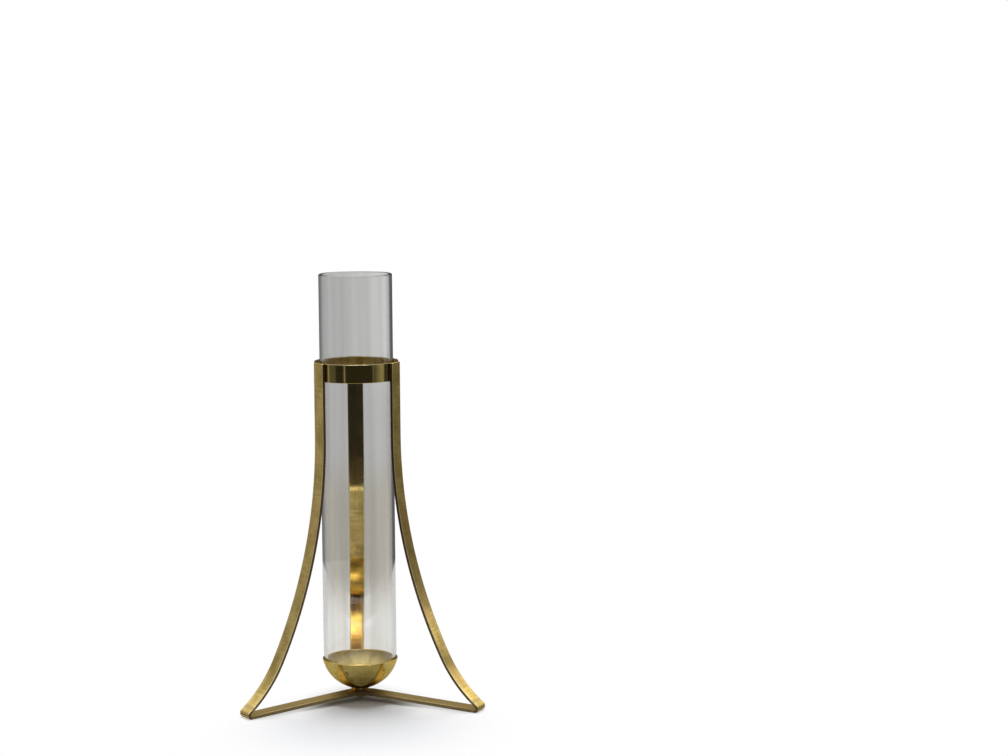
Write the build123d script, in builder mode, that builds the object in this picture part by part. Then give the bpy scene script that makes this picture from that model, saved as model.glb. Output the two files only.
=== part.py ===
from build123d import *
from math import asin, atan2, cos, degrees, hypot, pi, radians, sin, sqrt, tan
import os

os.makedirs("parts", exist_ok=True)

# Flower tube in a three-legged stand. Millimetres, +Z up, origin on the
# standing surface under the tube's axis, back leg towards +Y.

# Glass tube
tube_outer_d = 52.0
tube_wall = 2.0
tube_length = 296.2
tube_rim_share = 0.46

# Clearances between the glass and the brass
seat_clearance = 0.3
ring_clearance = 1.8

# Brass strap of the ring and the legs
strap_width = 12.0
strap_thickness = 2.0
strap_edge_r = 0.3

# Ring round the tube, with its top at the stand's full height
stand_height = 244.4
ring_height = 13.0
saddle_depth = 0.2

# Legs: straight below the ring, then two arcs out to the foot
leg_straight = 51.5
leg_lean = 51.5
leg_bend_share = 0.265
leg_top_chamfer = 0.25
foot_reach = 96.0
leg_sides = ("back", "left", "right")

# Base bars: curled up under each leg's end, and raised at the hub
base_bar_thickness = 2.5
foot_inside_r = 0.5
foot_flat_depth = 0.15
hub_lift = 4.4
hub_seat_r = 8.0
hub_bend_r = 40.0

# Cup, and what holds it to the hub
cup_wall = 1.1
cup_height = 22.2
cup_lip_share = 0.4
spacer_height = 1.5
spacer_d = 8.0
stud_d = 4.0
stud_clearance = 0.2
stud_past_nut = 0.5
stud_chamfer = 0.4
nut_flats = 7.0
nut_height = 2.2
nut_chamfer = 0.3
thread_clearance = 0.1

# Every cut runs past its piece by this much
overrun = 2.0

# Radii from the tube outwards
tube_r = tube_outer_d / 2
tube_inner_r = tube_r - tube_wall
cup_inner_r = tube_r + seat_clearance
cup_outer_r = cup_inner_r + cup_wall
ring_inner_r = tube_r + ring_clearance
ring_outer_r = ring_inner_r + strap_thickness
leg_inner_r = ring_outer_r - saddle_depth
leg_mid_r = leg_inner_r + strap_thickness / 2
stud_hole_r = stud_d / 2 + stud_clearance
foot_fold_r = base_bar_thickness + foot_inside_r

# Levels from the standing surface upwards
fold_centre_z = foot_fold_r - foot_flat_depth
hub_top = hub_lift + base_bar_thickness
cup_bottom = hub_top + spacer_height
cup_rim = cup_bottom + cup_height
bowl_centre = cup_bottom + cup_outer_r
tube_top = bowl_centre - tube_r + tube_length
ring_bottom = stand_height - ring_height
nut_bottom = hub_lift - nut_height
stud_bottom = nut_bottom - stud_past_nut


def level_plane(side, height):
    """Level plane at a height: x runs out along a leg. The legs share a full turn."""
    turn = leg_sides.index(side) / len(leg_sides)
    out = Vector(0, 1, 0).rotate(Axis.Z, turn * 360)
    return Plane(origin=(0, 0, height), x_dir=out, z_dir=(0, 0, 1))


def side_plane(side):
    """Upright plane along a leg: x runs out from the tube's axis, y is up."""
    level = level_plane(side, 0)
    return Plane(origin=level.origin, x_dir=level.x_dir, z_dir=-level.y_dir)


def rim_angle(radius):
    """Angle above the horizon at which the bowl's arc of a radius meets the rim."""
    return degrees(asin((cup_rim - bowl_centre) / radius))


def underside_angle(radius):
    """Angle on the bowl's outer arc at a distance from the tube's axis."""
    return degrees(asin(radius / cup_outer_r)) - 90


# Middle line of a leg. The two arcs meet where their tangents are shared: the
# lower tangent is leg_bend_share of the upper one, which solves a quadratic.
lean = radians(leg_lean)
fold_centre_r = foot_reach - foot_fold_r
leg_fold_r = foot_fold_r - strap_thickness / 2
down = Vector(0, -1)
leaning = Vector(sin(lean), -cos(lean))
bend_start = Vector(leg_mid_r, stand_height - leg_straight)
fold_start = Vector(fold_centre_r, fold_centre_z) + Vector(cos(lean), sin(lean)) * leg_fold_r
reach = fold_start - bend_start
square = 2 * leg_bend_share * (1 - down.dot(leaning))
linear = 2 * (reach.dot(down) + leg_bend_share * reach.dot(leaning))
upper_tangent = (sqrt(linear**2 + 4 * square * reach.dot(reach)) - linear) / (2 * square)
upper_corner = bend_start + down * upper_tangent
lower_corner = fold_start - leaning * upper_tangent * leg_bend_share
between = (lower_corner - upper_corner).normalized()
bend_middle = upper_corner + between * upper_tangent
leg_points = [tuple(point) for point in (bend_start, bend_middle, fold_start)]

# Middle line of a base bar: it leaves the curl at the slope that reaches the hub
bar_fold_r = foot_fold_r - base_bar_thickness / 2
hub_mid = hub_lift + base_bar_thickness / 2
rise = hub_mid - fold_centre_z
run = fold_centre_r - hub_seat_r
bar_slope = asin(bar_fold_r / hypot(run, rise)) + atan2(rise, run)
curl_end = (
    fold_centre_r - bar_fold_r * sin(bar_slope),
    fold_centre_z - bar_fold_r * cos(bar_slope),
)

# Glass tube: open above, round and closed below, with a melted rim
with BuildPart() as glass_tube:
    with BuildSketch(Plane.XZ):
        with BuildLine():
            outside = CenterArc((0, bowl_centre), tube_r, -90, 90)
            inside = CenterArc((0, bowl_centre), tube_inner_r, -90, 90)
            Polyline(outside @ 1, (tube_r, tube_top), (tube_inner_r, tube_top), inside @ 1)
            Line(outside @ 0, inside @ 0)
        make_face()
    revolve(axis=Axis.Z)
    fillet(glass_tube.faces().sort_by(Axis.Z)[-1].edges(), tube_wall * tube_rim_share)
glass_tube.part.label = "glass_tube"
export_step(glass_tube.part, "parts/glass_tube.step")

# Ring: strap bent on the flat into a hoop that steadies the tube
with BuildPart() as collar_ring:
    with BuildSketch(Plane.XZ):
        with Locations((ring_inner_r, ring_bottom)):
            RectangleRounded(strap_thickness, ring_height, strap_edge_r, align=(Align.MIN, Align.MIN))
    revolve(axis=Axis.Z)
collar_ring.part.label = "collar_ring"
export_step(collar_ring.part, "parts/collar_ring.step")

# Legs: strap fitted to the ring's curve and brazed there, bent out, curled at the foot
for side in leg_sides:
    with BuildPart() as leg:
        with BuildLine(side_plane(side)):
            straight = Line((leg_mid_r, stand_height), leg_points[0])
            upper = TangentArc(straight @ 1, leg_points[1], tangent=straight % 1)
            lower = TangentArc(upper @ 1, leg_points[2], tangent=upper % 1)
            TangentArc(lower @ 1, (fold_centre_r + leg_fold_r, fold_centre_z), tangent=lower % 1)
        with BuildSketch(level_plane(side, stand_height)):
            with Locations((leg_mid_r, 0)):
                RectangleRounded(strap_thickness, strap_width, strap_edge_r)
        sweep()
        with BuildSketch(level_plane(side, ring_bottom)):
            with BuildLine():
                fit_r = sqrt(ring_outer_r**2 - (strap_width / 2) ** 2)
                Polyline(
                    (fit_r, -strap_width / 2),
                    (leg_mid_r, -strap_width / 2),
                    (leg_mid_r, strap_width / 2),
                    (fit_r, strap_width / 2),
                    close=True,
                )
            make_face()
        extrude(amount=ring_height)
        with BuildSketch(Plane.XY.offset(ring_bottom)):
            Circle(ring_outer_r)
        extrude(amount=ring_height + overrun, mode=Mode.SUBTRACT)
        top_edges = leg.faces().sort_by(Axis.Z)[-1].edges()
        chamfer(top_edges.sort_by_distance((0, 0, stand_height))[1:], leg_top_chamfer)
    leg.part.label = f"leg_{side}"
    export_step(leg.part, f"parts/leg_{side}.step")

# Base bars: strap curled up to each leg's end, mitred together at the hub
for side in leg_sides:
    with BuildPart() as base_bar:
        with BuildLine(side_plane(side)):
            TangentArc((fold_centre_r + bar_fold_r, fold_centre_z), curl_end, tangent=(0, -1))
            FilletPolyline(curl_end, (hub_seat_r, hub_mid), (0, hub_mid), radius=hub_bend_r)
        with BuildSketch(level_plane(side, fold_centre_z)):
            with Locations((fold_centre_r + bar_fold_r, 0)):
                RectangleRounded(base_bar_thickness, strap_width, strap_edge_r)
        sweep()
        with BuildSketch(level_plane(side, 0)):
            with BuildLine():
                mitre_length = foot_reach + overrun
                mitre_width = mitre_length * tan(pi / len(leg_sides))
                Polyline(
                    (0, 0),
                    (mitre_length, -mitre_width),
                    (mitre_length, mitre_width),
                    close=True,
                )
            make_face()
        extrude(amount=hub_top + overrun, mode=Mode.INTERSECT)
        with BuildSketch(Plane.XY):
            Circle(stud_hole_r)
        extrude(amount=hub_top + overrun, mode=Mode.SUBTRACT)
    base_bar.part.label = f"base_bar_{side}"
    export_step(base_bar.part, f"parts/base_bar_{side}.step")

# Cup: spun brass bowl for the tube's round bottom, with a rounded lip
with BuildPart() as cup:
    with BuildSketch(Plane.XZ):
        with BuildLine():
            outside = CenterArc((0, bowl_centre), cup_outer_r, -90, 90 + rim_angle(cup_outer_r))
            inside = CenterArc((0, bowl_centre), cup_inner_r, -90, 90 + rim_angle(cup_inner_r))
            Line(outside @ 1, inside @ 1)
            Line(outside @ 0, inside @ 0)
        make_face()
    revolve(axis=Axis.Z)
    fillet(cup.faces().sort_by(Axis.Z)[-1].edges(), cup_wall * cup_lip_share)
cup.part.label = "cup"
export_step(cup.part, "parts/cup.step")

# Spacer: turned washer, dished on top to seat the cup
with BuildPart() as cup_spacer:
    with BuildSketch(Plane.XZ):
        with BuildLine():
            start = underside_angle(stud_hole_r)
            dish = CenterArc((0, bowl_centre), cup_outer_r, start, underside_angle(spacer_d / 2) - start)
            Polyline(dish @ 0, (stud_hole_r, hub_top), (spacer_d / 2, hub_top), dish @ 1)
        make_face()
    revolve(axis=Axis.Z)
cup_spacer.part.label = "cup_spacer"
export_step(cup_spacer.part, "parts/cup_spacer.step")

# Stud: brazed to the cup's underside, through the spacer and the hub
with BuildPart() as cup_stud:
    with BuildSketch(Plane.XZ):
        with BuildLine():
            top = CenterArc((0, bowl_centre), cup_outer_r, -90, 90 + underside_angle(stud_d / 2))
            Polyline(top @ 0, (0, stud_bottom), (stud_d / 2, stud_bottom), top @ 1)
        make_face()
    revolve(axis=Axis.Z)
    chamfer(cup_stud.faces().sort_by(Axis.Z)[0].edges(), stud_chamfer)
cup_stud.part.label = "cup_stud"
export_step(cup_stud.part, "parts/cup_stud.step")

# Nut: thin hexagon nut under the hub
with BuildPart() as cup_nut:
    with BuildSketch(Plane.XY.offset(nut_bottom)):
        RegularPolygon(nut_flats / 2, 6, major_radius=False)
        Circle(stud_d / 2 + thread_clearance, mode=Mode.SUBTRACT)
    extrude(amount=nut_height)
    chamfer(cup_nut.faces().sort_by(Axis.Z)[0].outer_wire().edges(), nut_chamfer)
cup_nut.part.label = "cup_nut"
export_step(cup_nut.part, "parts/cup_nut.step")
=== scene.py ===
from math import asin, atan2, cos, degrees, pi, radians, sin, sqrt, tan

import bmesh
import bpy
from mathutils import Matrix, Vector


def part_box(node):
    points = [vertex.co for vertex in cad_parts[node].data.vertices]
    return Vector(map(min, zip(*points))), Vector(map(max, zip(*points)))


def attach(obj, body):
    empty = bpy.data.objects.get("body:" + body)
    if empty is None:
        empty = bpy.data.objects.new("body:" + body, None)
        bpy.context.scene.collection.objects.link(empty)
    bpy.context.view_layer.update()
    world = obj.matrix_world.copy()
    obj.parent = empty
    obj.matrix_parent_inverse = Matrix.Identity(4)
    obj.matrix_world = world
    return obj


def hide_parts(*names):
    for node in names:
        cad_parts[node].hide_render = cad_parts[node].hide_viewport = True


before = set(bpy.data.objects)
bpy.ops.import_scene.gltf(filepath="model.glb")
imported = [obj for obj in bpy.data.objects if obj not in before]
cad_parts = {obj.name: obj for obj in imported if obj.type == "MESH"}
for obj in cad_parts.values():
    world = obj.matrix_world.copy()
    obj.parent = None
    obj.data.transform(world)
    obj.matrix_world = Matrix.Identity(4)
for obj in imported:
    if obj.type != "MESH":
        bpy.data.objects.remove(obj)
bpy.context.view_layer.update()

# Camera. It stands about 1.76 m in front of the vessel, a little above the glass's mouth, and
# looks slightly down. Its lens is long, so the glass's sides stay almost parallel.
mm = 0.001
eye = Vector((-63.22, -1760.72, 435.23)) * mm
looks_right = radians(5.455)
looks_down = radians(6.615)
tilt = radians(-0.381)
picture_width = 1008
lens_pixels = 2500

lens = bpy.data.cameras.new("camera")
lens.lens = lens.sensor_width * lens_pixels / picture_width
camera = bpy.data.objects.new("camera", lens)
camera.matrix_world = (
    Matrix.Translation(eye)
    @ Matrix.Rotation(-looks_right, 4, "Z")
    @ Matrix.Rotation(pi / 2 - looks_down, 4, "X")
    @ Matrix.Rotation(tilt, 4, "Z")
)
bpy.context.scene.collection.objects.link(camera)
bpy.context.scene.camera = camera

# Collar ring. A hoop of flat brass strap that steadies the glass some way below its mouth. It
# is turned true and buffed bright, with its edges just broken, and the legs are brazed to it.
ring_low, ring_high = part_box("collar_ring")
ring_outer_r = ring_high.x
ring_top = ring_high.z
ring_bottom = ring_low.z
ring_wall = 2 * mm
ring_inner_r = ring_outer_r - ring_wall
ring_edge = 0.3 * mm
ring_edge_rounds = 4
ring_sides = 192
sharp_angle = radians(35)
buffed_light = (0.82, 0.63, 0.225, 1)
buffed_dark = (0.64, 0.48, 0.15, 1)
brass_aslant = (0.90, 0.76, 0.50, 1)
# Painted reflection: the ring's top face is toned grey so that the light it mirrors looks pale
lip_sheen_grey = (0.42, 0.36, 0.23, 1)
ring_brown = (0.56, 0.38, 0.09, 1)
level_only = (1, 1, 0)
buffing_scales = (60, 60, 6000)
streak_scales = (300, 300, 12)
age_scale = 70
age_share = 0.7
lip_sheen_share = 0.7
lip_zone = (ring_top - 0.5 * mm, ring_top - 0.2 * mm)
soft_tones = (0.3, 0.7)
firm_tones = (0.4, 0.6)
buffed_roughness = 0.05
inside_roughness = 0.28
age_roughness = 0.08
line_roughness = 0.05
fine_line_depth = 0.004 * mm


class Wire:
    """A node's socket that Python's operators work on. Its add method makes any other node."""

    def __init__(self, tree, socket=None):
        self.tree = tree
        self.socket = socket

    def __getitem__(self, output):
        return Wire(self.tree, self.socket.node.outputs[output])

    def add(self, kind, settings=None, values=None):
        node = self.tree.nodes.new(kind)
        for name, setting in (settings or {}).items():
            setattr(node, name, setting)
        open_inputs = [socket for socket in node.inputs if socket.enabled]
        for name, value in (values or {}).items():
            by_name = (socket for socket in open_inputs if socket.name == name)
            socket = open_inputs[name] if isinstance(name, int) else next(by_name)
            if isinstance(value, Wire):
                self.tree.links.new(value.socket, socket)
            else:
                socket.default_value = value
        first = next((socket for socket in node.outputs if socket.enabled), None)
        return Wire(self.tree, first)

    def maths(self, operation, *values):
        return self.add("ShaderNodeMath", {"operation": operation}, dict(enumerate(values)))

    def __add__(self, other):
        return self.maths("ADD", self, other)

    def __sub__(self, other):
        return self.maths("SUBTRACT", self, other)

    def __rsub__(self, other):
        return self.maths("SUBTRACT", other, self)

    def __mul__(self, other):
        return self.maths("MULTIPLY", self, other)

    def __abs__(self):
        return self.maths("ABSOLUTE", self)

    def __gt__(self, other):
        return self.maths("GREATER_THAN", self, other)

    __radd__ = __add__
    __rmul__ = __mul__

    def parts(self):
        """This vector's parts, to be read as X, Y and Z."""
        return self.add("ShaderNodeSeparateXYZ", None, {0: self})

    def distance(self, point=(0, 0, 0)):
        """How far this place lies from a point."""
        values = {0: self, 1: point}
        return self.add("ShaderNodeVectorMath", {"operation": "DISTANCE"}, values)["Value"]

    def stretched(self, scales):
        """This vector with each of its parts scaled."""
        return self.add("ShaderNodeVectorMath", {"operation": "MULTIPLY"}, {0: self, 1: scales})

    def clouds(self, scale=1, detail=3, roughness=0.55):
        """Noise from 0 to 1 that follows this vector."""
        values = {"Vector": self, "Scale": scale, "Detail": detail, "Roughness": roughness}
        return self.add("ShaderNodeTexNoise", None, values)

    def fade(self, start, end):
        """0 at start and 1 at end, with a soft change between."""
        values = {"Value": self, "From Min": start, "From Max": end}
        return self.add("ShaderNodeMapRange", {"interpolation_type": "SMOOTHSTEP"}, values)

    def from_to(self, low, high):
        """The number that lies this far from the first one to the second."""
        return low + self * (high - low)

    def between(self, low, high):
        """The colour that lies this far from the first one to the second."""
        values = {"Factor": self, "A": low, "B": high}
        return self.add("ShaderNodeMix", {"data_type": "RGBA"}, values)

    def lit(self, strength):
        """This colour, as bright as a strength that may pass 1."""
        values = {0: self, "Scale": strength}
        return self.add("ShaderNodeVectorMath", {"operation": "SCALE"}, values)

    def relief(self, depth):
        """A normal that rises and falls with this value, by a depth in metres."""
        return self.add("ShaderNodeBump", None, {"Height": self, "Distance": depth})


def new_finish(name):
    """An empty material, a wire to draw it with and the place on the piece."""
    finish = bpy.data.materials.new(name)
    finish.use_nodes = True
    finish.node_tree.nodes.clear()
    pen = Wire(finish.node_tree)
    return finish, pen, pen.add("ShaderNodeTexCoord")["Object"]


def metal(pen, colour, roughness, normal):
    """Ends a material as bare brass, which keeps its tint at a slant."""
    values = {
        "Base Color": colour,
        "Metallic": 1.0,
        "Roughness": roughness,
        "Specular Tint": brass_aslant,
        "Normal": normal,
    }
    bare = pen.add("ShaderNodeBsdfPrincipled", None, values)
    pen.add("ShaderNodeOutputMaterial", None, {"Surface": bare})


def buffed_brass():
    """Bright brass with fine lines round the hoop, uneven age, and brown streaks inside it."""
    finish, pen, place = new_finish("buffed_brass")
    lines = place.stretched(buffing_scales).clouds(detail=4)
    age = place.clouds(age_scale)
    inside = place.stretched(level_only).distance().fade(ring_inner_r + ring_edge, ring_inner_r)
    lip_sheen = place.parts()["Z"].fade(*lip_zone)
    streaks = place.stretched(streak_scales).clouds().fade(*firm_tones)
    base = (age * age_share + lines * (1 - age_share)).fade(*soft_tones)
    base = base.between(buffed_light, buffed_dark)
    base = (inside * streaks).between(base, ring_brown)
    # Painted reflection: the top face is toned grey so that the light it mirrors looks pale
    base = (lip_sheen * lip_sheen_share).between(base, lip_sheen_grey)
    roughness = buffed_roughness + inside * inside_roughness
    roughness = roughness + age * age_roughness + lines * line_roughness
    metal(pen, base, roughness, lines.relief(fine_line_depth))
    return finish


def piece(name, shape, finish, rounding=0, rounds=1):
    """A finished piece from a bmesh: sharp edges are rounded or kept, and flats stay flat."""
    bmesh.ops.recalc_face_normals(shape, faces=shape.faces[:])
    mesh = bpy.data.meshes.new(name)
    shape.to_mesh(mesh)
    shape.free()
    mesh.shade_smooth()
    mesh.materials.append(finish)
    made = bpy.data.objects.new(name, mesh)
    bpy.context.scene.collection.objects.link(made)
    if rounding:
        edges = made.modifiers.new("edges", "BEVEL")
        edges.width = rounding
        edges.segments = rounds
        edges.angle_limit = sharp_angle
    else:
        mesh.set_sharp_from_angle(angle=sharp_angle)
    flats = made.modifiers.new("flats", "WEIGHTED_NORMAL")
    flats.keep_sharp = True
    seen = made.evaluated_get(bpy.context.evaluated_depsgraph_get())
    made.data = bpy.data.meshes.new_from_object(seen)
    made.modifiers.clear()
    return made


def spun(outline, sides):
    """A closed shape turned about the upright axis from (radius, height) points.

    An outline that starts off the axis is closed on itself, like the ring's.
    """
    shape = bmesh.new()
    turns = [2 * pi * side / sides for side in range(sides)]
    rows = []
    for radius, height in outline:
        if radius:
            row = [shape.verts.new((radius * cos(a), radius * sin(a), height)) for a in turns]
        else:
            row = [shape.verts.new((0, 0, height))] * sides
        rows.append(row)
    ends_meet = outline[0][0] > 0
    for row, above in zip(rows, rows[1:] + rows[:1] * ends_meet):
        for side in range(sides):
            corners = dict.fromkeys((row[side - 1], row[side], above[side], above[side - 1]))
            shape.faces.new(corners)
    return shape


ring_outline = [
    (ring_inner_r, ring_bottom),
    (ring_outer_r, ring_bottom),
    (ring_outer_r, ring_top),
    (ring_inner_r, ring_top),
]
hoop = spun(ring_outline, ring_sides)
ring = piece("buffed_ring", hoop, buffed_brass(), ring_edge, ring_edge_rounds)
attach(ring, "stand")
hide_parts("collar_ring")

# Legs. Three lengths of flat brass strap, each fitted to the ring's curve and brazed there,
# then bent out in two sweeps and turned down at the foot. The faces are finely grained.
leg_low, leg_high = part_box("leg_back")
strap_width = leg_high.x - leg_low.x
half_width = strap_width / 2
strap_wall = 2 * mm
strap_edge = 0.3 * mm
strap_edge_steps = 4
saddle = 0.2 * mm
saddle_columns = 12
foot_reach = leg_high.y
fold_inside_r = 0.5 * mm
bar_wall = 2.5 * mm
seam_height = leg_low.z
seam_groove = 0.35 * mm
straight_length = 51.5 * mm
lean = radians(51.5)
bend_share = 0.265
top_chamfer = 0.25 * mm
upper_steps = 36
lower_steps = 30
turn_down_steps = 12
step_gap = 0.02 * mm
cut_gap = 1e-7
leg_angles = {"back": pi / 2, "left": pi * 7 / 6, "right": pi * 11 / 6}

grained_light = (0.90, 0.68, 0.26, 1)
grained_dark = (0.56, 0.42, 0.13, 1)
grained_red = (0.78, 0.50, 0.19, 1)
# Pale brass: worn corners with a painted highlight along them, the foot below the seam, and the
# back bar's painted sheen
pale_wear_and_sheen = (0.98, 0.86, 0.56, 1)
raw_edge = (0.17, 0.12, 0.05, 1)
# Dark brown for grime in the seam, and for painted shade near the hub and low on the cup
grime_and_shade = (0.13, 0.09, 0.045, 1)
bar_brown = (0.57, 0.44, 0.22, 1)

# Where the strap's finish changes, as the heights, reaches or widths that it fades between
outer_face_zone = (-0.5 * mm, 0.5 * mm)
sawn_zone = (half_width - 0.08 * mm, half_width - 0.02 * mm)
corner_zone = (half_width - 0.9 * mm, half_width - 0.5 * mm)
in_seam_zone = (0.6 * mm, 0.35 * mm)
under_seam_zone = (seam_height - 0.3 * mm, seam_height - 0.8 * mm)
# Near the hub the bars darken: partly grime, partly painted shade under the cup
hub_darkening_reach = (30 * mm, 9 * mm)
hub_darkening_height = (9 * mm, 8 * mm)
bar_height = (9 * mm, 7.5 * mm)
bar_reach = (foot_reach - 2 * mm, foot_reach - 4 * mm)
back_bar_zone = (0, 15 * mm)
front_bar_zone = (15 * mm, 0)
low_leg_zone = (65 * mm, 45 * mm)

# How much of each pattern and tone shows. A pair is for the inner and the outer face, for legs
# and bars, or for the bars' brown off and on the strokes.
cross_grain_scales = (60, 900, 480)
stroke_scales = (520, 520, 14)
cross_grain_share = 0.6
tone_scale = 70
tone_share = 0.45
red_scale = 45
red_tones = (0.45, 0.65)
red_inside_outside = (0.2, 0.6)
relief_inside_outside = (0.15, 1)
brown_by_strokes = (0.4, 1.2)
corner_on_leg_bar = (0.6, 0.05)
sawn_on_leg_bar = (1, 0.6)
back_bar_sheen_share = 0.7
under_seam_share = 0.8
seam_dirt = 0.97
hub_dirt_and_shade = 0.85
strap_roughness = 0.03
outer_face_roughness = 0.1
low_inside_roughness = 0.08
corner_roughness = 0.14
sawn_roughness = 0.1
bar_roughness = 0.16
grain_roughness = 0.08


def grained_brass():
    """Satin brass: fine grain across the strap, longer strokes along it, and uneven toning."""
    finish, pen, place = new_finish("grained_brass")
    along = pen.add("ShaderNodeAttribute", {"attribute_name": "along"})["Fac"]
    across = pen.add("ShaderNodeAttribute", {"attribute_name": "across"})["Vector"].parts()
    joined = {"X": across["X"], "Y": across["Y"], "Z": along}
    on_strap = pen.add("ShaderNodeCombineXYZ", None, joined)
    cross_grain = on_strap.stretched(cross_grain_scales).clouds(detail=4, roughness=0.65)
    strokes = on_strap.stretched(stroke_scales).clouds(roughness=0.6)
    grain = cross_grain * cross_grain_share + strokes * (1 - cross_grain_share)

    outer_face = across["Y"].fade(*outer_face_zone)
    sawn = abs(across["X"]).fade(*sawn_zone)
    corner = abs(across["X"]).fade(*corner_zone)
    reach = place.stretched(level_only).distance()
    place_parts = place.parts()
    height = place_parts["Z"]
    at_curl = reach.fade(fold_centre.x, fold_outer.x)
    in_seam = abs(height - seam_height).fade(*in_seam_zone) * at_curl
    under_seam = height.fade(*under_seam_zone) * at_curl
    # Partly grime, partly painted shade where the cup shades the bars near the hub
    at_hub = reach.fade(*hub_darkening_reach) * height.fade(*hub_darkening_height)
    any_bar = height.fade(*bar_height) * reach.fade(*bar_reach)
    # Painted sheen: the back bar's inner face is painted pale, so that the back leg mirrors it
    # bright
    back_bar_sheen = any_bar * place_parts["Y"].fade(*back_bar_zone) * (1 - outer_face)
    on_bar = any_bar * place_parts["Y"].fade(*front_bar_zone)
    low_inside = (1 - outer_face) * height.fade(*low_leg_zone)

    base = (place.clouds(tone_scale) * tone_share + grain * (1 - tone_share)).fade(*firm_tones)
    base = base.between(grained_light, grained_dark)
    red = place.clouds(red_scale).fade(*red_tones) * outer_face.from_to(*red_inside_outside)
    base = red.between(base, grained_red)
    base = (on_bar * strokes.from_to(*brown_by_strokes)).between(base, bar_brown)
    # Painted highlight on the back bar, which the back leg mirrors
    base = (back_bar_sheen * back_bar_sheen_share).between(base, pale_wear_and_sheen)
    # The strap's corners are paler, worn and with a painted highlight along them, and so is the
    # foot below the seam
    wear_and_sheen = corner * on_bar.from_to(*corner_on_leg_bar)
    wear_and_sheen = pen.maths("MAXIMUM", wear_and_sheen, under_seam * under_seam_share)
    base = wear_and_sheen.between(base, pale_wear_and_sheen)
    base = (sawn * on_bar.from_to(*sawn_on_leg_bar)).between(base, raw_edge)
    # A dark seam line, and near the hub grime with painted shade
    dirt_and_shade = pen.maths("MAXIMUM", in_seam * seam_dirt, at_hub * hub_dirt_and_shade)
    base = dirt_and_shade.between(base, grime_and_shade)

    roughness = strap_roughness + outer_face * outer_face_roughness
    roughness = roughness + low_inside * low_inside_roughness + corner * corner_roughness
    roughness = roughness + sawn * sawn_roughness + on_bar * bar_roughness
    roughness = roughness + grain * grain_roughness
    uneven = grain * outer_face.from_to(*relief_inside_outside)
    metal(pen, base, roughness, uneven.relief(fine_line_depth))
    return finish


def new_tree(name, inputs):
    """An empty geometry nodes tree with named inputs, a wire to draw it with and its inputs."""
    tree = bpy.data.node_groups.new(name, "GeometryNodeTree")
    for label, kind in inputs.items():
        tree.interface.new_socket(label, in_out="INPUT", socket_type=kind)
    tree.interface.new_socket("Shape", in_out="OUTPUT", socket_type="NodeSocketGeometry")
    pen = Wire(tree)
    return tree, pen, pen.add("NodeGroupInput")


def end_tree(pen, shape, finish):
    """Ends a tree with its shape made real and given its finish."""
    shape = pen.add("GeometryNodeRealizeInstances", None, {"Geometry": shape})
    dressed = {"Geometry": shape, "Material": finish}
    shape = pen.add("GeometryNodeSetMaterial", None, dressed)
    pen.add("NodeGroupOutput", None, {"Shape": shape})


def strap_tree():
    """Geometry nodes: a flat strap with rounded edges that follows a path of edges."""
    inputs = {
        "Path": "NodeSocketGeometry",
        "Width way": "NodeSocketVector",
        "Width": "NodeSocketFloat",
        "Wall": "NodeSocketFloat",
        "Edge": "NodeSocketFloat",
        "Edge steps": "NodeSocketInt",
        "Finish": "NodeSocketMaterial",
    }
    tree, pen, given = new_tree("strap along a path", inputs)
    path = pen.add("GeometryNodeMeshToCurve", None, {"Mesh": given["Path"]})
    facing = {"Curve": path, "Normal": given["Width way"]}
    path = pen.add("GeometryNodeSetCurveNormal", {"mode": "FREE"}, facing)
    length = pen.add("GeometryNodeSplineParameter")["Length"]
    kept = {"Geometry": path, "Name": "along", "Value": length}
    path = pen.add("GeometryNodeStoreNamedAttribute", None, kept)
    size = {"Width": given["Width"], "Height": given["Wall"]}
    section = pen.add("GeometryNodeCurvePrimitiveQuadrilateral", None, size)
    edges = {"Curve": section, "Radius": given["Edge"], "Count": given["Edge steps"]}
    section = pen.add("GeometryNodeFilletCurve", {"mode": "POLY"}, edges)
    kept = {"Geometry": section, "Name": "across", "Value": pen.add("GeometryNodeInputPosition")}
    section = pen.add("GeometryNodeStoreNamedAttribute", {"data_type": "FLOAT_VECTOR"}, kept)
    sweep = {"Curve": path, "Profile Curve": section, "Fill Caps": True}
    end_tree(pen, pen.add("GeometryNodeCurveToMesh", None, sweep), given["Finish"])
    return tree


def grown(tree, start, sizes):
    """The bmesh that a geometry nodes tree makes from a start mesh and its named sizes."""
    seed = bpy.data.objects.new("seed", start)
    bpy.context.scene.collection.objects.link(seed)
    nodes = seed.modifiers.new("nodes", "NODES")
    nodes.node_group = tree
    for socket in tree.interface.items_tree:
        if socket.name in sizes:
            nodes[socket.identifier] = sizes[socket.name]
    seen = seed.evaluated_get(bpy.context.evaluated_depsgraph_get())
    mesh = bpy.data.meshes.new_from_object(seen)
    shape = bmesh.new()
    shape.from_mesh(mesh)
    bpy.data.objects.remove(seed)
    return shape


def arc(start, heading, end, steps):
    """Points after start on the arc that leaves it along heading and reaches end."""
    chord = end - start
    half_turn = atan2(heading.cross(chord), heading.dot(chord))
    points = []
    for step in range(1, steps + 1):
        turned = half_turn * step / steps
        reach = chord.length * sin(turned) / sin(half_turn)
        points.append(start + Matrix.Rotation(turned, 2) @ heading * reach)
    return points


def strap(points, angle, wall):
    """A strap whose middle line runs through (radius, height) points, out along an angle."""
    path = bpy.data.meshes.new("path")
    places = [(radius * cos(angle), radius * sin(angle), height) for radius, height in points]
    path.from_pydata(places, [(step, step + 1) for step in range(len(points) - 1)], [])
    sizes = {
        "Width way": (-sin(angle), cos(angle), 0),
        "Width": strap_width,
        "Wall": wall,
        "Edge": strap_edge,
        "Edge steps": strap_edge_steps,
        "Finish": satin,
    }
    return grown(strap_shape, path, sizes)


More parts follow.
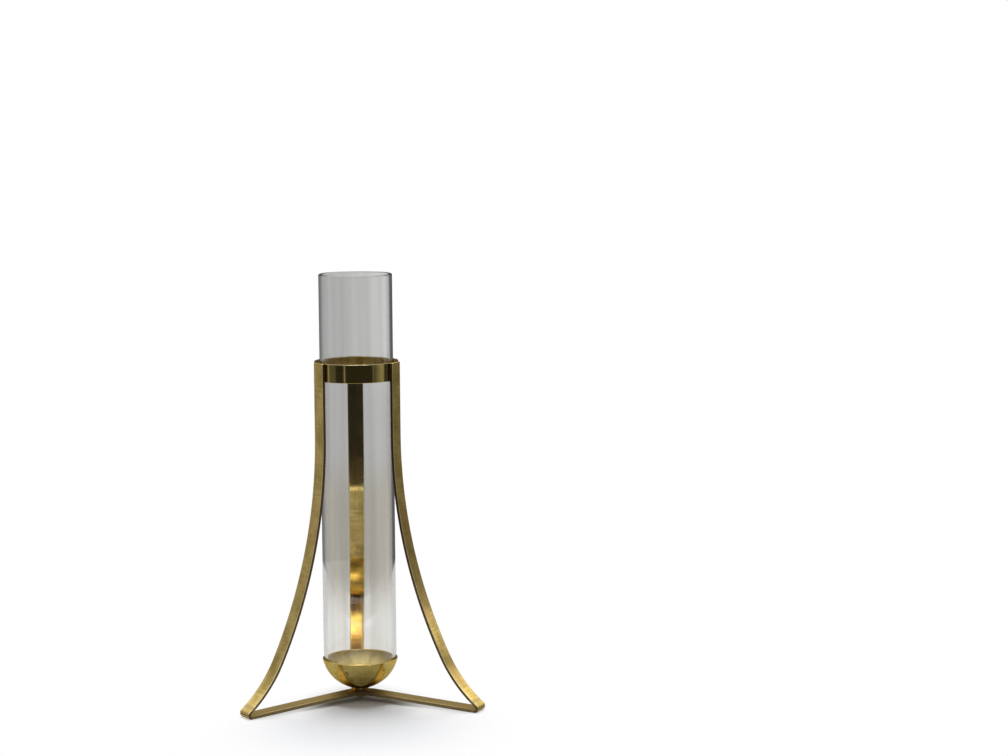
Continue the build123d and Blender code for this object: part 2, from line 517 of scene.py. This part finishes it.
def sliced(shape, angle, columns):
    """Cuts a strap's faces lengthwise, at distances from its middle, so that they can bend."""
    way = Vector((-sin(angle), cos(angle), 0))
    for column in columns:
        parts = shape.verts[:] + shape.edges[:] + shape.faces[:]
        middle = way * column
        bmesh.ops.bisect_plane(shape, geom=parts, dist=cut_gap, plane_co=middle, plane_no=way)


def reshape(shape, angle, place):
    """Moves each point of a strap. place turns (out, sideways, height) into a new three."""
    turn = Matrix.Rotation(angle, 3, "Z")
    for point in shape.verts:
        point.co = turn @ Vector(place(*(turn.transposed() @ point.co)))


def bevelled(out, aside, groove, middle, wall):
    """Draws a strap's end in from all four sides by a groove's depth at that height."""
    if groove > 0:
        out = middle + (out - middle) * (1 - groove / (wall / 2))
        aside *= 1 - groove / half_width
    return out, aside


# The middle line of a leg. Its two sweeps meet where their tangents do: the lower tangent is
# bend_share of the upper one, which gives a quadratic for the upper one's length.
leg_inner_r = ring_outer_r - saddle
leg_mid_r = leg_inner_r + strap_wall / 2
fold_outer_r = bar_wall + fold_inside_r
fold_centre = Vector((foot_reach - fold_outer_r, seam_height))
fold_outer = fold_centre + Vector((fold_inside_r, 0))
down = Vector((0, -1))
leaning = Vector((sin(lean), -cos(lean)))
bend_start = Vector((leg_mid_r, ring_top - straight_length))
fold_mid_r = fold_outer_r - strap_wall / 2
fold_start = fold_centre + Vector((cos(lean), sin(lean))) * fold_mid_r
reach = fold_start - bend_start
square = 2 * bend_share * (1 - down.dot(leaning))
linear = 2 * (reach.dot(down) + bend_share * reach.dot(leaning))
upper_tangent = (sqrt(linear**2 + 4 * square * reach.dot(reach)) - linear) / (2 * square)
upper_corner = bend_start + down * upper_tangent
lower_corner = fold_start - leaning * upper_tangent * bend_share
heading = (lower_corner - upper_corner).normalized()
bend_middle = upper_corner + heading * upper_tangent
leg_seam = fold_centre + Vector((fold_mid_r, 0))
leg_rows = [
    Vector((leg_mid_r, ring_top)),
    Vector((leg_mid_r, ring_top - top_chamfer)),
    Vector((leg_mid_r, ring_bottom + step_gap)),
    Vector((leg_mid_r, ring_bottom - step_gap)),
    bend_start,
]
leg_rows += arc(bend_start, down, bend_middle, upper_steps)
leg_rows += arc(bend_middle, heading, fold_start, lower_steps)
leg_rows += arc(fold_start, leaning, leg_seam, turn_down_steps)
leg_columns = [half_width * (2 * step / saddle_columns - 1) for step in range(1, saddle_columns)]


def leg_place(out, aside, height):
    """Fits a leg to the ring, breaks its top edges and bevels its seam at the foot."""
    if height > ring_bottom and out < leg_mid_r - strap_wall / 4:
        out = sqrt(ring_outer_r**2 - aside**2)
    broken = height - (ring_top - top_chamfer)
    if broken > 0 and out > leg_mid_r:
        out -= broken
    if broken > 0:
        aside *= 1 - broken / half_width
    groove = seam_groove - (height - seam_height)
    out, aside = bevelled(out, aside, groove, leg_seam.x, strap_wall)
    return out, aside, height


satin = grained_brass()
strap_shape = strap_tree()
for side, angle in leg_angles.items():
    shape = strap(leg_rows, angle, strap_wall)
    sliced(shape, angle, leg_columns)
    reshape(shape, angle, leg_place)
    leg = piece(f"strap_leg_{side}", shape, satin)
    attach(leg, "stand")
    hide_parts(f"leg_{side}")

# Base bars. The same strap, a little thicker, curled up under each leg's end and brazed to it
# there. The three rise to the middle and are mitred together round the hole for the stud.
hub_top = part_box("base_bar_back")[1].z
hub_mid = hub_top - bar_wall / 2
hub_seat_r = 8 * mm
hub_bend_r = 40 * mm
stud_hole_r = 2.2 * mm
mitre = pi / 3
hole_columns = 12
curl_steps = 20
rise_steps = 12
hub_bend_steps = 3

bar_fold_r = fold_outer_r - bar_wall / 2
bar_seam = fold_centre + Vector((bar_fold_r, 0))
rise = hub_mid - fold_centre.y
run = fold_centre.x - hub_seat_r
slope = asin(bar_fold_r / sqrt(run**2 + rise**2)) + atan2(rise, run)
curl_end = fold_centre - Vector((sin(slope), cos(slope))) * bar_fold_r
bend_reach = hub_bend_r * tan(slope / 2)
hub_corner = Vector((hub_seat_r, hub_mid))
rising = Vector((-cos(slope), sin(slope)))
hub_bend_start = hub_corner - rising * bend_reach
hub_bend_end = hub_corner - Vector((bend_reach, 0))
mitre_start = Vector((half_width / tan(mitre) + step_gap, hub_mid))
bar_rows = [bar_seam]
bar_rows += arc(bar_seam, down, curl_end, curl_steps)
bar_rows += [curl_end.lerp(hub_bend_start, (step + 1) / rise_steps) for step in range(rise_steps)]
bar_rows += arc(hub_bend_start, rising, hub_bend_end, hub_bend_steps)
bar_rows += [mitre_start, Vector((0, hub_mid))]
hole_side = stud_hole_r * sin(mitre)
bar_columns = [hole_side * (2 * step / hole_columns - 1) for step in range(hole_columns + 1)]


def bar_place(out, aside, height):
    """Bevels a bar's seam, wears its foot flat and cuts its mitre with the stud's hole."""
    if out > fold_centre.x:
        groove = seam_groove - (seam_height - height)
        out, aside = bevelled(out, aside, groove, bar_seam.x, bar_wall)
    if out < step_gap:
        hole = sqrt(max(0, stud_hole_r**2 - aside**2))
        out = max(abs(aside) / tan(mitre), hole)
    return out, aside, max(height, 0)


for side, angle in leg_angles.items():
    shape = strap(bar_rows, angle, bar_wall)
    sliced(shape, angle, bar_columns)
    reshape(shape, angle, bar_place)
    bar = piece(f"strap_bar_{side}", shape, satin)
    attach(bar, "stand")
    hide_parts(f"base_bar_{side}")

# Cup. A bowl spun from brass sheet that the glass's round end sits in. The lip is rounded, the
# spinner's lines run round it, and the outside has small dark pits below the lip.
cup_low, cup_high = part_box("cup")
glass_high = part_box("glass_tube")[1]
glass_r = glass_high.x
seat_gap = 0.3 * mm
cup_wall = 1.1 * mm
bowl_inner_r = glass_r + seat_gap
bowl_outer_r = bowl_inner_r + cup_wall
bowl_centre = cup_low.z + bowl_outer_r
lip_round = 0.44 * mm
lip_rounds = 5
cup_sides = 160
cup_steps = 56
spun_light = (0.78, 0.60, 0.20, 1)
spun_dark = (0.50, 0.38, 0.10, 1)
# Painted light: the bowl's inside is brighter and more golden than its outside, as if lit
bowl_inside_lit = (0.92, 0.72, 0.23, 1)
pit_brown = (0.10, 0.07, 0.03, 1)
spinning_scales = (0, 0, 2600)
dulling_scale = 45
mottle_scale = 450
dulling_share = 0.5
mottle_share = 0.3
spun_tones = (0.33, 0.67)
inside_tones = (0.25, 0.6)
# The pits sit in a web of cells. Their size varies, and only some of the cells hold one
pit_scale = 300
pit_spread = 0.2
pit_edge = (0.5, 0.22)
pit_chance = (0.5, 0.6)
pit_height = (27 * mm, 24 * mm)
pit_share = 0.65
pit_depth = 0.02 * mm
spinning_relief = 0.3
# Painted shade: the cup darkens towards its bottom, over its underside
under_shade_height = (14 * mm, 8 * mm)
under_shade = 0.8
spun_roughness = 0.11
bowl_roughness = 0.26
dulling_roughness = 0.08
spinning_roughness = 0.04
pit_roughness = 0.3


def spun_brass():
    """Brass from the spinning lathe: lines round the axis, a dull tone and scattered pits."""
    finish, pen, place = new_finish("spun_brass")
    height = place.parts()["Z"]
    from_centre = place.distance((0, 0, bowl_centre))
    inside = from_centre.fade(bowl_outer_r - cup_wall / 2, bowl_inner_r)
    lines = place.stretched(spinning_scales).clouds(roughness=0.6)
    dulling = place.clouds(dulling_scale)
    mottle = place.clouds(mottle_scale, detail=2)
    cells = pen.add("ShaderNodeTexVoronoi", None, {"Vector": place, "Scale": pit_scale})
    drawn = pen.add("ShaderNodeSeparateColor", None, {0: cells["Color"]})
    pits = (cells["Distance"] + drawn["Green"] * pit_spread).fade(*pit_edge)
    pits = pits * drawn["Red"].fade(*pit_chance) * height.fade(*pit_height) * (1 - inside)

    line_share = 1 - dulling_share - mottle_share
    base = dulling * dulling_share + mottle * mottle_share + lines * line_share
    base = base.fade(*spun_tones).between(spun_light, spun_dark)
    # Painted light inside the bowl
    base = (inside * dulling.fade(*inside_tones)).between(base, bowl_inside_lit)
    # Painted shade, darker towards the cup's bottom
    base = (height.fade(*under_shade_height) * under_shade).between(base, grime_and_shade)
    base = (pits * pit_share).between(base, pit_brown)
    roughness = spun_roughness + inside * bowl_roughness + dulling * dulling_roughness
    roughness = roughness + lines * spinning_roughness + pits * pit_roughness
    metal(pen, base, roughness, (lines * spinning_relief - pits).relief(pit_depth))
    return finish


def bowl(radius, top, steps):
    """Points of a bowl's arc from its lowest point, on the axis, up to a height."""
    turn = (asin((top - bowl_centre) / radius) + pi / 2) / steps
    points = [(0, bowl_centre - radius)]
    for step in range(1, steps + 1):
        points.append((radius * sin(turn * step), bowl_centre - radius * cos(turn * step)))
    return points


dull = spun_brass()
cup_outside = bowl(bowl_outer_r, cup_high.z, cup_steps)
cup_inside = bowl(bowl_inner_r, cup_high.z, cup_steps)
basin = spun(cup_outside + cup_inside[::-1], cup_sides)
cup = piece("spun_cup", basin, dull, lip_round, lip_rounds)
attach(cup, "stand")
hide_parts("cup")

# Spacer, stud and nut. A turned washer, dished to seat the cup, lifts it off the bars. A stud
# brazed under the cup passes down through washer and bars to a thin hexagon nut.
stud_low, stud_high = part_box("cup_stud")
stud_r = stud_high.x
stud_length = stud_high.z - stud_low.z
thread_pitch = 0.7 * mm
thread_depth = 0.38 * mm
stud_tip = 0.4 * mm
thread_columns = 49
rows_per_turn = 10
thread_rows = round(stud_length / thread_pitch * rows_per_turn) + 1
weld_gap = 1e-6


def thread_tree():
    """Geometry nodes: a grid rolled into a rod, with a thread that climbs round it."""
    inputs = {
        "Start": "NodeSocketGeometry",
        "Bottom": "NodeSocketFloat",
        "Length": "NodeSocketFloat",
        "Radius": "NodeSocketFloat",
        "Pitch": "NodeSocketFloat",
        "Depth": "NodeSocketFloat",
        "Tip": "NodeSocketFloat",
        "Columns": "NodeSocketInt",
        "Rows": "NodeSocketInt",
        "Finish": "NodeSocketMaterial",
    }
    tree, pen, given = new_tree("threaded rod", inputs)
    size = {
        "Size X": 1.0,
        "Size Y": given["Length"],
        "Vertices X": given["Columns"],
        "Vertices Y": given["Rows"],
    }
    grid = pen.add("GeometryNodeMeshGrid", None, size)
    # The grid is centred, so with half of each side added X counts the turn and Y the height
    place = pen.add("GeometryNodeInputPosition").parts()
    turn = place["X"] + 0.5
    height = place["Y"] + 0.5 * given["Length"]
    climb = pen.maths("FRACT", pen.maths("DIVIDE", height, given["Pitch"]) + turn)
    groove = abs(climb * 2 - 1) * given["Depth"]
    chamfer = pen.maths("MAXIMUM", given["Tip"] - height, 0.0)
    radius = given["Radius"] - pen.maths("MAXIMUM", groove, chamfer)
    angle = turn * (2 * pi)
    rolled = {
        "X": radius * pen.maths("COSINE", angle),
        "Y": radius * pen.maths("SINE", angle),
        "Z": given["Bottom"] + height,
    }
    rolled = pen.add("ShaderNodeCombineXYZ", None, rolled)
    rod = pen.add("GeometryNodeSetPosition", None, {"Geometry": grid, "Position": rolled})
    rod = pen.add("GeometryNodeMergeByDistance", None, {"Geometry": rod, "Distance": weld_gap})
    end_tree(pen, rod, given["Finish"])
    return tree


thread_sizes = {
    "Bottom": stud_low.z,
    "Length": stud_length,
    "Radius": stud_r,
    "Pitch": thread_pitch,
    "Depth": thread_depth,
    "Tip": stud_tip,
    "Columns": thread_columns,
    "Rows": thread_rows,
    "Finish": dull,
}
rod = grown(thread_tree(), bpy.data.meshes.new("start"), thread_sizes)
bmesh.ops.holes_fill(rod, edges=[edge for edge in rod.edges if edge.is_boundary])
stud = piece("threaded_stud", rod, dull)
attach(stud, "stand")
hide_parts("cup_stud")

for node in ("cup_spacer", "cup_nut"):
    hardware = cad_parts[node]
    hardware.data.materials.clear()
    hardware.data.materials.append(dull)

# Glass tube. Clear drawn glass with a wall of 2 mm, closed round at the bottom and melted
# smooth at the rim. It stands loose in the cup and the ring, and lifts straight out.
glass_top = glass_high.z
glass_wall = 2 * mm
glass_inner_r = glass_r - glass_wall
rim_round = 0.92 * mm
rim_rounds = 6
glass_sides = 192
glass_steps = 48
glass_clear = (1.0, 1.0, 0.995, 1)
glass_smoky = (0.90, 0.90, 0.895, 1)
glass_index = 1.47
aslant_zone = (0.1, 0.6)
draw_line_scales = (110, 110, 3)
draw_line_depth = 0.01 * mm
draw_line_roughness = 0.02


def drawn_glass():
    """Clear glass with faint draw lines down its length, which fade where it turns away."""
    finish, pen, place = new_finish("drawn_glass")
    lines = place.stretched(draw_line_scales).clouds(detail=2)
    aslant = pen.add("ShaderNodeLayerWeight")["Facing"].fade(*aslant_zone)
    body = lines.fade(*soft_tones).between(glass_clear, glass_smoky)
    values = {
        "Base Color": aslant.between(body, glass_clear),
        "Roughness": lines * draw_line_roughness,
        "IOR": glass_index,
        "Transmission Weight": 1.0,
        "Normal": lines.relief(draw_line_depth),
    }
    clear = pen.add("ShaderNodeBsdfPrincipled", None, values)
    pen.add("ShaderNodeOutputMaterial", None, {"Surface": clear})
    return finish


outside = bowl(glass_r, bowl_centre, glass_steps)
inside = bowl(glass_inner_r, bowl_centre, glass_steps)
glass_outline = outside + [(glass_r, glass_top), (glass_inner_r, glass_top)] + inside[::-1]
vial = spun(glass_outline, glass_sides)
tube = piece("drawn_tube", vial, drawn_glass(), rim_round, rim_rounds)
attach(tube, "tube")
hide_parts("glass_tube")

# Table. A round white top that the vessel stands on. The camera sees its paint only where the
# vessel's shadow falls, and pure white further out. Through glass and in the brass it is grey.
table_front = -0.312
table_back = 0.535
table_sides = 96
table_paint = (0.858, 0.865, 0.882, 1)
mirrored_paint = (0.50, 0.50, 0.495, 1)
pure_white = (1, 1, 1, 1)
warm_white = (1.0, 0.965, 0.87, 1)
shade_centre = (-0.008, -0.068, 0)
shade_zone = (0.025, 0.142)
hub_shade_zone = (0.025, 0.050)
# Between the outer halves of the front bars the table glows white to the camera: painted light
# over the bars' shadow
between_bars_share = 0.6
between_bars_aside = (0.02, 0.05)
between_bars_front = (-0.07, -0.045)
between_bars_back = (0.02, -0.01)
# The brass mirrors mostly paint, with painted light: a faint glow over its shadow, and a glowing
# front rim
rim_zone = (0.287, 0.289)
rim_front = (-0.2, -0.25)
rim_light = 0.9
table_glow = 0.60
table_glow_share = 0.15
# Through glass the table glows, brighter and less warm near the vessel than far off
far_glow = 0.49
near_glow = 0.82
near_zone = (0.5, 0.25)
near_warmth = 0.4
# In front of the vessel that change is drawn in, so that the table's edge doesn't show
in_front_zone = (0, -0.05)
in_front_stretch = 1.65


def plain_view(pen):
    """1 where the camera looks straight at the table or the room."""
    return pen.add("ShaderNodeLightPath")["Is Camera Ray"]


def through_glass(pen):
    """1 where a ray has passed through glass and nothing else."""
    path = pen.add("ShaderNodeLightPath")
    mirrored = (path["Glossy Depth"] + path["Diffuse Depth"]) > 0.5
    return path["Is Transmission Ray"] * (1 - mirrored)


def table_white():
    """Paint where the shadow falls, and a glow elsewhere: white to the camera, else grey."""
    finish, pen, place = new_finish("table_white")
    plain = plain_view(pen)
    through = through_glass(pen)
    parts = place.parts()
    length = place.distance()
    paint = plain.between(mirrored_paint, table_paint)
    paint = pen.add("ShaderNodeBsdfDiffuse", None, {"Color": paint})

    # Painted reflection: a glowing rim at the table's front, which the brass mirrors as a bright
    # line
    rim = length.fade(*rim_zone) * parts["Y"].fade(*rim_front)
    drawn_in = length * parts["Y"].fade(*in_front_zone).from_to(1, in_front_stretch)
    near = drawn_in.fade(*near_zone)
    behind_glass = near.from_to(far_glow, near_glow)
    strength = through.from_to(table_glow + rim * rim_light, behind_glass)
    strength = plain.from_to(strength, 1)
    tint = (through * near.from_to(1, near_warmth)).between(pure_white, warm_white)
    glow = pen.add("ShaderNodeEmission", None, {"Color": tint.lit(strength)})

    away = place.distance(shade_centre).fade(*shade_zone) * length.fade(*hub_shade_zone)
    # Painted light between the front bars, over their shadow
    between_bars = abs(parts["X"]).fade(*between_bars_aside)
    between_bars = between_bars * parts["Y"].fade(*between_bars_front)
    between_bars = between_bars * parts["Y"].fade(*between_bars_back) * between_bars_share
    glowing = pen.maths("MAXIMUM", away, between_bars) * plain
    glowing = pen.maths("MAXIMUM", glowing, through)
    # Painted light: mirrored rays see a faint glow over the paint, which lightens its shadow
    mirrored = (1 - plain) * rim.from_to(table_glow_share, 1)
    glowing = pen.maths("MAXIMUM", glowing, mirrored)
    seen = pen.add("ShaderNodeMixShader", None, {0: glowing, 1: paint, 2: glow})
    pen.add("ShaderNodeOutputMaterial", None, {"Surface": seen})
    return finish


table_shape = bmesh.new()
table_r = (table_back - table_front) / 2
bmesh.ops.create_circle(table_shape, cap_ends=True, segments=table_sides, radius=table_r)
bmesh.ops.translate(table_shape, vec=(0, table_front + table_r, 0), verts=table_shape.verts)
table = piece("table_top", table_shape, table_white())

# Room. It is dark in front of the vessel, lighter to its sides and bright above it, and the
# brass mirrors it. The compass, in degrees, is 0 in front of the vessel, 90 to its right and
# 180 behind it.
room_dark = 0.025
# Each change of the room's light, with the compass fades that bring it in and take it out
room_changes = (
    (0.28, (40, 74)),
    (0.07, (-58, -64)),
    (0.25, (-88, -100)),
    (-0.27, (77, 81), (97, 92)),
    (0.3, (92, 98), (112, 104)),
    (-0.13, (112, 120)),
)
# Narrow upright lights, each with its compass and its light
slits = ((-35, 0.4), (45, 0.15), (-84, 0.4))
slit_zone = (1.8, 0.8)
# Round lights, each with its compass, height, outer and inner spread, and its light
round_lights = ((133, 25, 14, 4, 0.65), (122, 9.8, 2.8, 0.4, 1.5))
upper_zone = (0.02, 0.3)
upper_light = 0.38
back_zone = (132, 156)
back_share = 0.5
ceiling_zone = (0.29, 0.66)
ceiling_light = 1.25
# Only this share of what the brass mirrors lights everything else
unmirrored_share = 0.3
# Behind the glass: a pair's second value is for high up on the right and low down on the left
backdrop_grey = 0.51
backdrop_right = (-1, 5)
backdrop_left = (-1, -5)
backdrop_high = (-0.13, -0.10)
backdrop_low = (-0.14, -0.165)
right_lift = (0.08, 0.28)
left_drop = (0.12, 0.036)
low_drop = 0.14

room = bpy.data.worlds.new("room")
room.use_nodes = True
room.node_tree.nodes.clear()
bpy.context.scene.world = room
air = Wire(room.node_tree)
sight = air.add("ShaderNodeTexCoord")["Generated"]
way = sight.parts()
compass = air.maths("ARCTAN2", way["X"], 0 - way["Y"]) * degrees(1)
level = room_dark
for change, *fades in room_changes:
    for start, end in fades:
        change = compass.fade(start, end) * change
    level = level + change
for centre, light in slits:
    level = level + abs(compass - centre).fade(*slit_zone) * light
level = way["Z"].fade(*upper_zone).from_to(level, upper_light)
level = level * abs(compass).fade(*back_zone).from_to(1, back_share)
level = way["Z"].fade(*ceiling_zone).from_to(level, ceiling_light)
for towards, height, outer, inner, light in round_lights:
    centre = Vector((0, -cos(radians(height)), sin(radians(height))))
    centre.rotate(Matrix.Rotation(radians(towards), 3, "Z"))
    facing = air.add("ShaderNodeVectorMath", {"operation": "DOT_PRODUCT"}, {0: sight, 1: centre})
    level = level + facing["Value"].fade(cos(radians(outer)), cos(radians(inner))) * light
mirrored = air.add("ShaderNodeLightPath")["Is Glossy Ray"]
level = level * mirrored.from_to(unmirrored_share, 1)

# Behind the glass the room is a plain grey backdrop, lighter to the right than to the left, and
# darker low down
through = through_glass(air)
across_view = air.maths("ARCTAN2", way["X"], way["Y"]) * degrees(1)
high = way["Z"].fade(*backdrop_high)
low = way["Z"].fade(*backdrop_low)
backdrop = 1 + across_view.fade(*backdrop_right) * high.from_to(*right_lift)
backdrop = backdrop - across_view.fade(*backdrop_left) * low.from_to(*left_drop)
backdrop = backdrop_grey * (backdrop - low * low_drop)
level = through.from_to(level, backdrop)
level = plain_view(air).from_to(level, 1)
tint = (through * low).between(pure_white, warm_white)
surround = air.add("ShaderNodeBackground", None, {"Color": tint.lit(level)})
air.add("ShaderNodeOutputWorld", None, {"Surface": surround})

# Lamp. One soft round lamp hangs over the vessel, a little behind it, and casts the shadow. It
# is hidden from the brass, which would otherwise mirror its bright disc.
lamp_size = 0.6
lamp_watts = 12.6
lamp_place = Vector((0, 0.22, 1.1))
lamp = bpy.data.lights.new("overhead", "AREA")
lamp.shape = "DISK"
lamp.size = lamp_size
lamp.energy = lamp_watts
holder = bpy.data.objects.new("overhead", lamp)
holder.location = lamp_place
holder.rotation_euler = lamp_place.to_track_quat("Z", "Y").to_euler()
holder.visible_glossy = False
bpy.context.scene.collection.objects.link(holder)

# The back leg is seen through four surfaces of glass, and mirrors the cup through more of them
light_paths = bpy.context.scene.cycles
light_paths.max_bounces = 28
light_paths.transmission_bounces = 20
light_paths.glossy_bounces = 8
bpy.context.scene.view_settings.view_transform = "Standard"
